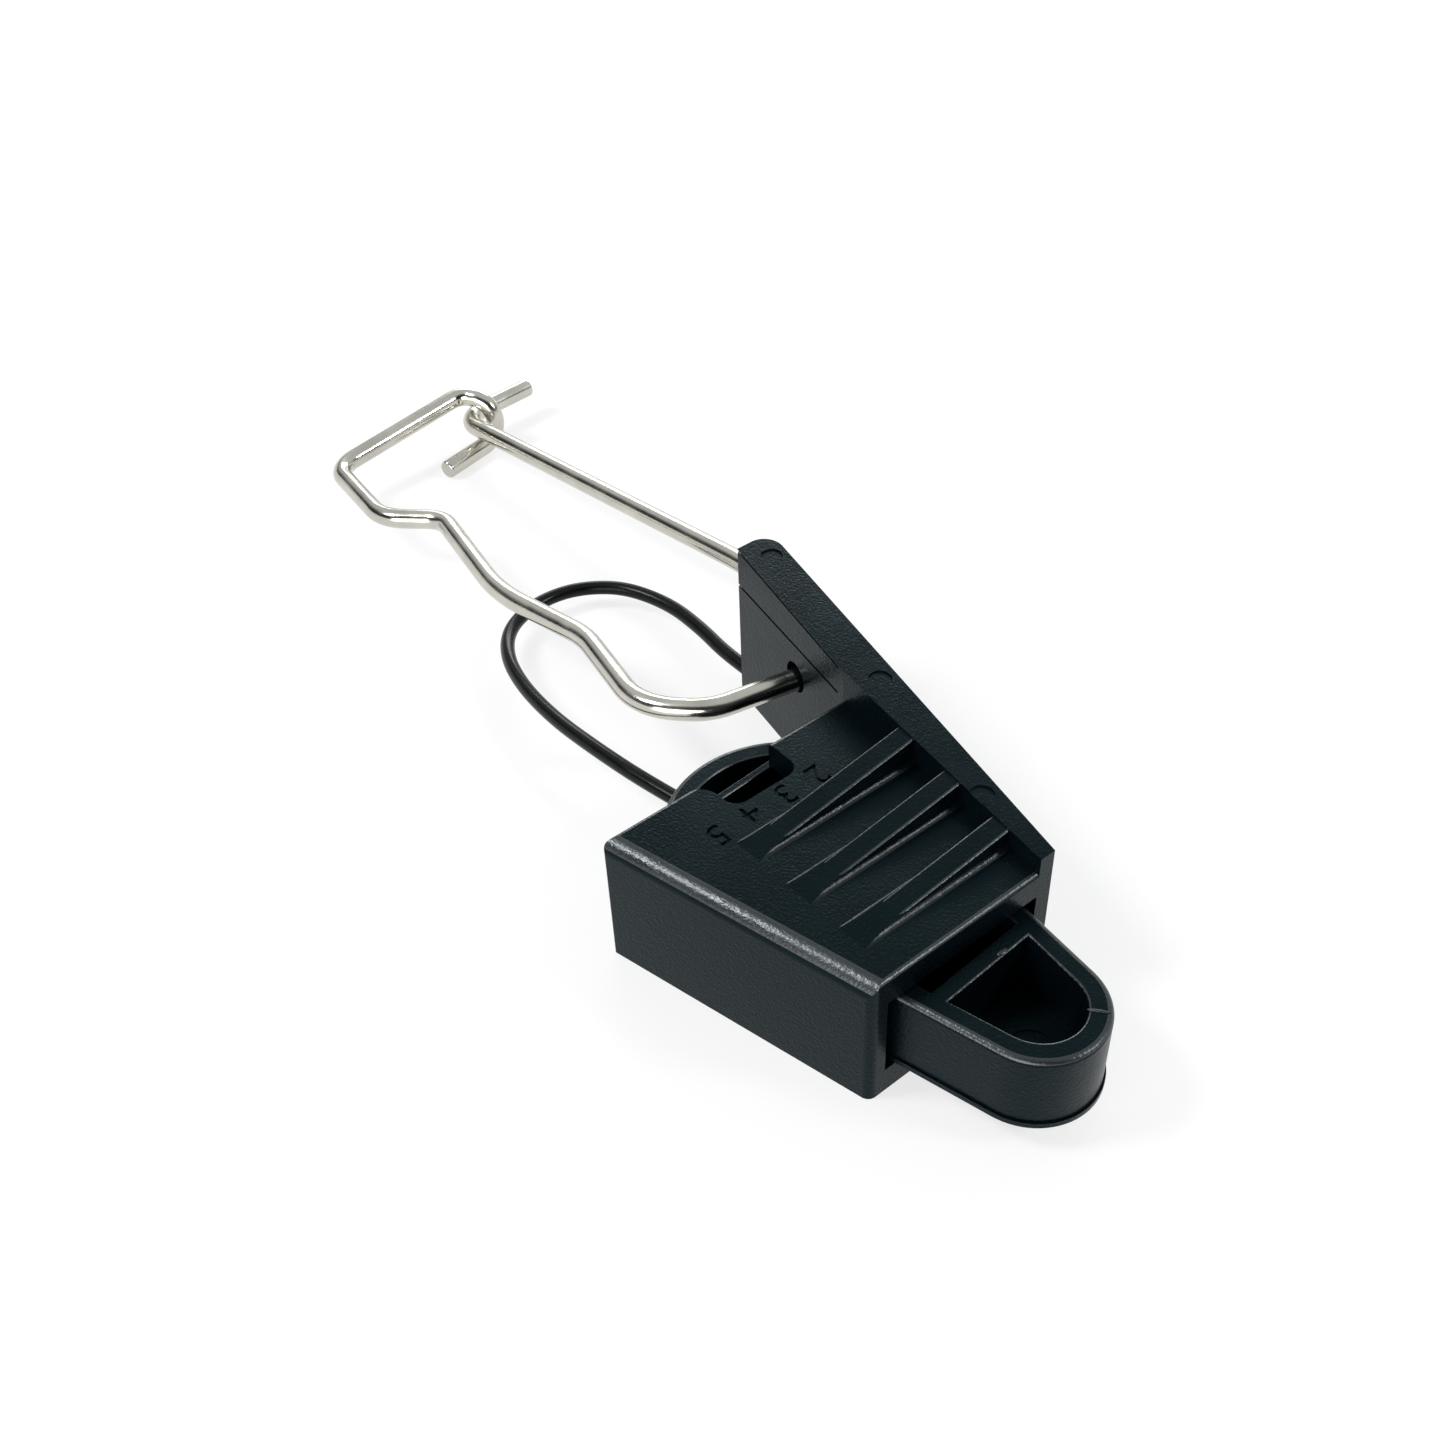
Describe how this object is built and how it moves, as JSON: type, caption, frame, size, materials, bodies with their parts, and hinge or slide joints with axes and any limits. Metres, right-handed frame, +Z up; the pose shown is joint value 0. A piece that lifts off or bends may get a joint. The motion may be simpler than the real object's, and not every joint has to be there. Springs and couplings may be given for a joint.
{
  "type": "drop cable clamp",
  "caption": "Wedge clamp for round drop cable: tapered housing with gusset ribs, sliding drop-shaped wedge on a tether, and a hooked wire bail that swings in the spine's lug.",
  "frame": {"origin": "centre of the housing's base, on the surface that it lies on", "axes": "+X along the housing to the end where the cable leaves, +Y to the spine that carries the bail, +Z up"},
  "size_m": [0.1374, 0.0534, 0.0203],
  "materials": {
    "housing_plastic": "satin moulded",
    "wedge_plastic": "satin moulded",
    "stainless_wire": "drawn bright",
    "tether_cord": "smooth"
  },
  "bodies": {
    "housing": {"housing": "housing_plastic", "tether": "tether_cord"},
    "wedge": {"wedge": "wedge_plastic"},
    "bail": {"bail": "stainless_wire"}
  },
  "joints": [
    {"name": "wedge_slide", "type": "slide", "parent": "housing", "child": "wedge", "axis": [0.9986, 0.0531, 0], "range_m": [-0.005, 0.0025], "deforming": ["tether"]},
    {"name": "bail_swing", "type": "hinge", "parent": "housing", "child": "bail", "pos_m": [-0.02335, 0.0207, 0.01095], "axis": [0.2079, 0.9781, 0], "range_deg": [-90, 120]}
  ]
}
